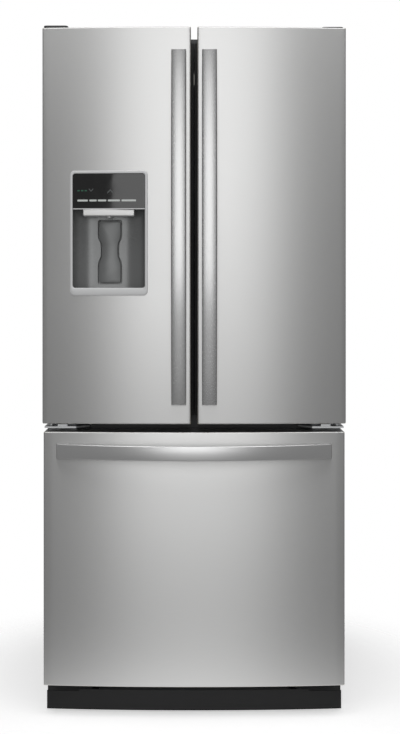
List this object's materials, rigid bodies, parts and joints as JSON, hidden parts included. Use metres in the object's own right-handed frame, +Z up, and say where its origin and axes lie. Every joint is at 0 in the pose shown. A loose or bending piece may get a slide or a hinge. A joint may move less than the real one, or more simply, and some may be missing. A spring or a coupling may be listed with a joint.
{
  "type": "french door refrigerator",
  "caption": "Refrigerator with side-hinged upper doors, a water dispenser in the left one, and a slide-out freezer drawer below; bowed bar handles.",
  "frame": {"origin": "on the floor, under the middle of the overall box", "axes": "+Z up, the doors face -Y, +X to the right seen from the front"},
  "size_m": [0.756, 0.846, 1.7275],
  "materials": {
    "cabinet_panels": "textured dark grey paint on steel sheet",
    "insulation_foam": "closed-cell foam",
    "fresh_food_liner": "moulded white liner",
    "freezer_liner": "moulded white liner",
    "base_frame": "pressed steel, black paint",
    "machine_cover": "pierced sheet, grey paint",
    "compressor": "black enamelled steel shell",
    "condenser_coil": "black painted steel tube",
    "fan_shroud": "moulded black plastic",
    "drain_pan": "moulded black plastic",
    "evaporator_coil": "aluminium tube and fins",
    "evaporator_cover": "moulded white plastic",
    "air_tower": "moulded white plastic",
    "ceiling_light": "frosted lens",
    "shelf_tracks": "white painted steel",
    "shelf_frames": "moulded light grey plastic with steel arms",
    "shelf_glass": "clear tempered glass",
    "freezer_outer_rails": "zinc-plated rolled steel",
    "ice_maker": "moulded off-white plastic with a wire arm",
    "top_hinges": "plated steel bracket",
    "hinge_cover_left": "moulded dark grey plastic",
    "hinge_cover_right": "moulded dark grey plastic",
    "centre_hinges": "plated steel bracket",
    "base_grille": "moulded black plastic",
    "water_valve": "moulded plastic valve body with its inlet fitting",
    "power_inlet": "moulded black appliance socket",
    "left_door_skin": "stainless steel sheet with a fine upright grain and a clear coat",
    "left_door_foam": "closed-cell foam",
    "left_door_liner": "moulded white liner",
    "left_door_gasket": "soft grey gasket with a magnet strip inside",
    "left_door_handle": "satin stainless bar",
    "left_door_bins": "clear moulded plastic",
    "dispenser_housing": "moulded grey plastic, bright rim",
    "dispenser_panel": "gloss black control panel",
    "dispenser_nozzle": "satin bright trim",
    "drip_tray": "moulded grey plastic",
    "right_door_skin": "stainless steel sheet with a fine upright grain and a clear coat",
    "right_door_foam": "closed-cell foam",
    "right_door_liner": "moulded white liner",
    "right_door_gasket": "soft grey gasket with a magnet strip inside",
    "right_door_handle": "satin stainless bar",
    "right_door_bins": "clear moulded plastic",
    "drawer_skin": "stainless steel sheet with a fine upright grain and a clear coat",
    "drawer_foam": "closed-cell foam",
    "drawer_liner": "moulded white liner",
    "drawer_gasket": "soft grey gasket with a magnet strip inside",
    "drawer_handle": "satin stainless bar",
    "lower_basket": "moulded white plastic",
    "drawer_rails": "zinc-plated rolled steel",
    "freezer_mid_rails": "zinc-plated rolled steel",
    "upper_basket": "moulded white plastic",
    "mullion_flap": "moulded dark grey plastic over a heated steel face",
    "dispenser_paddle": "moulded grey plastic",
    "crisper_left": "clear moulded plastic",
    "crisper_right": "clear moulded plastic",
    "condenser_fan": "moulded natural plastic",
    "rear_roller_left": "moulded black nylon",
    "rear_roller_right": "moulded black nylon",
    "levelling_leg_left": "moulded foot on a threaded stem",
    "levelling_leg_right": "moulded foot on a threaded stem"
  },
  "bodies": {
    "cabinet": {"cabinet_panels": "cabinet_panels", "insulation_foam": "insulation_foam", "fresh_food_liner": "fresh_food_liner", "freezer_liner": "freezer_liner", "base_frame": "base_frame", "machine_cover": "machine_cover", "compressor": "compressor", "condenser_coil": "condenser_coil", "fan_shroud": "fan_shroud", "drain_pan": "drain_pan", "evaporator_coil": "evaporator_coil", "evaporator_cover": "evaporator_cover", "air_tower": "air_tower", "ceiling_light": "ceiling_light", "shelf_tracks": "shelf_tracks", "shelf_frames": "shelf_frames", "shelf_glass": "shelf_glass", "freezer_outer_rails": "freezer_outer_rails", "ice_maker": "ice_maker", "top_hinges": "top_hinges", "hinge_cover_left": "hinge_cover_left", "hinge_cover_right": "hinge_cover_right", "centre_hinges": "centre_hinges", "base_grille": "base_grille", "water_valve": "water_valve", "power_inlet": "power_inlet"},
    "left_door": {"left_door_skin": "left_door_skin", "left_door_foam": "left_door_foam", "left_door_liner": "left_door_liner", "left_door_gasket": "left_door_gasket", "left_door_handle": "left_door_handle", "left_door_bins": "left_door_bins", "dispenser_housing": "dispenser_housing", "dispenser_panel": "dispenser_panel", "dispenser_nozzle": "dispenser_nozzle", "drip_tray": "drip_tray"},
    "right_door": {"right_door_skin": "right_door_skin", "right_door_foam": "right_door_foam", "right_door_liner": "right_door_liner", "right_door_gasket": "right_door_gasket", "right_door_handle": "right_door_handle", "right_door_bins": "right_door_bins"},
    "freezer_drawer": {"drawer_skin": "drawer_skin", "drawer_foam": "drawer_foam", "drawer_liner": "drawer_liner", "drawer_gasket": "drawer_gasket", "drawer_handle": "drawer_handle", "lower_basket": "lower_basket", "drawer_rails": "drawer_rails"},
    "mid_rails": {"freezer_mid_rails": "freezer_mid_rails"},
    "upper_basket_body": {"upper_basket": "upper_basket"},
    "flap": {"mullion_flap": "mullion_flap"},
    "paddle": {"dispenser_paddle": "dispenser_paddle"},
    "crisper_left_body": {"crisper_left": "crisper_left"},
    "crisper_right_body": {"crisper_right": "crisper_right"},
    "fan": {"condenser_fan": "condenser_fan"},
    "roller_left": {"rear_roller_left": "rear_roller_left"},
    "roller_right": {"rear_roller_right": "rear_roller_right"},
    "leg_left": {"levelling_leg_left": "levelling_leg_left"},
    "leg_right": {"levelling_leg_right": "levelling_leg_right"}
  },
  "joints": [
    {"name": "left_door_hinge", "type": "hinge", "parent": "cabinet", "child": "left_door", "pos_m": [-0.362, -0.3, 1.2], "axis": [0, 0, -1], "range_deg": [0, 120]},
    {"name": "right_door_hinge", "type": "hinge", "parent": "cabinet", "child": "right_door", "pos_m": [0.362, -0.3, 1.2], "axis": [0, 0, 1], "range_deg": [0, 120]},
    {"name": "flap_hinge", "type": "hinge", "parent": "left_door", "child": "flap", "pos_m": [-0.037, -0.258, 1.2], "axis": [0, 0, -1], "range_deg": [0, 90]},
    {"name": "paddle_hinge", "type": "hinge", "parent": "left_door", "child": "paddle", "pos_m": [-0.212, -0.314, 1.232], "axis": [1, 0, 0], "range_deg": [0, 5], "stiffness_Nm_per_rad": 1.2, "springref_deg": -4.58},
    {"name": "freezer_drawer_slide", "type": "slide", "parent": "cabinet", "child": "freezer_drawer", "axis": [0, -1, 0], "range_m": [0, 0.45]},
    {"name": "mid_rail_slide", "type": "slide", "parent": "cabinet", "child": "mid_rails", "axis": [0, -1, 0], "range_m": [0, 0.225]},
    {"name": "upper_basket_slide", "type": "slide", "parent": "freezer_drawer", "child": "upper_basket_body", "axis": [0, 1, 0], "range_m": [0, 0.1]},
    {"name": "crisper_left_slide", "type": "slide", "parent": "cabinet", "child": "crisper_left_body", "axis": [0, -1, 0], "range_m": [0, 0.095]},
    {"name": "crisper_right_slide", "type": "slide", "parent": "cabinet", "child": "crisper_right_body", "axis": [0, -1, 0], "range_m": [0, 0.095]},
    {"name": "condenser_fan_spin", "type": "hinge", "parent": "cabinet", "child": "fan", "pos_m": [0.088, 0.316, 0.155], "axis": [1, 0, 0], "continuous": true},
    {"name": "rear_roller_left_spin", "type": "hinge", "parent": "cabinet", "child": "roller_left", "pos_m": [-0.32, 0.37, 0.02], "axis": [1, 0, 0], "continuous": true},
    {"name": "rear_roller_right_spin", "type": "hinge", "parent": "cabinet", "child": "roller_right", "pos_m": [0.32, 0.37, 0.02], "axis": [1, 0, 0], "continuous": true},
    {"name": "levelling_leg_left_turn", "type": "hinge", "parent": "cabinet", "child": "leg_left", "pos_m": [-0.32, -0.235, 0.03], "axis": [0, 0, 1], "continuous": true},
    {"name": "levelling_leg_right_turn", "type": "hinge", "parent": "cabinet", "child": "leg_right", "pos_m": [0.32, -0.235, 0.03], "axis": [0, 0, 1], "continuous": true}
  ],
  "couplings": [
    {"joint": "mid_rail_slide", "follows": "freezer_drawer_slide", "ratio": 0.5}
  ]
}
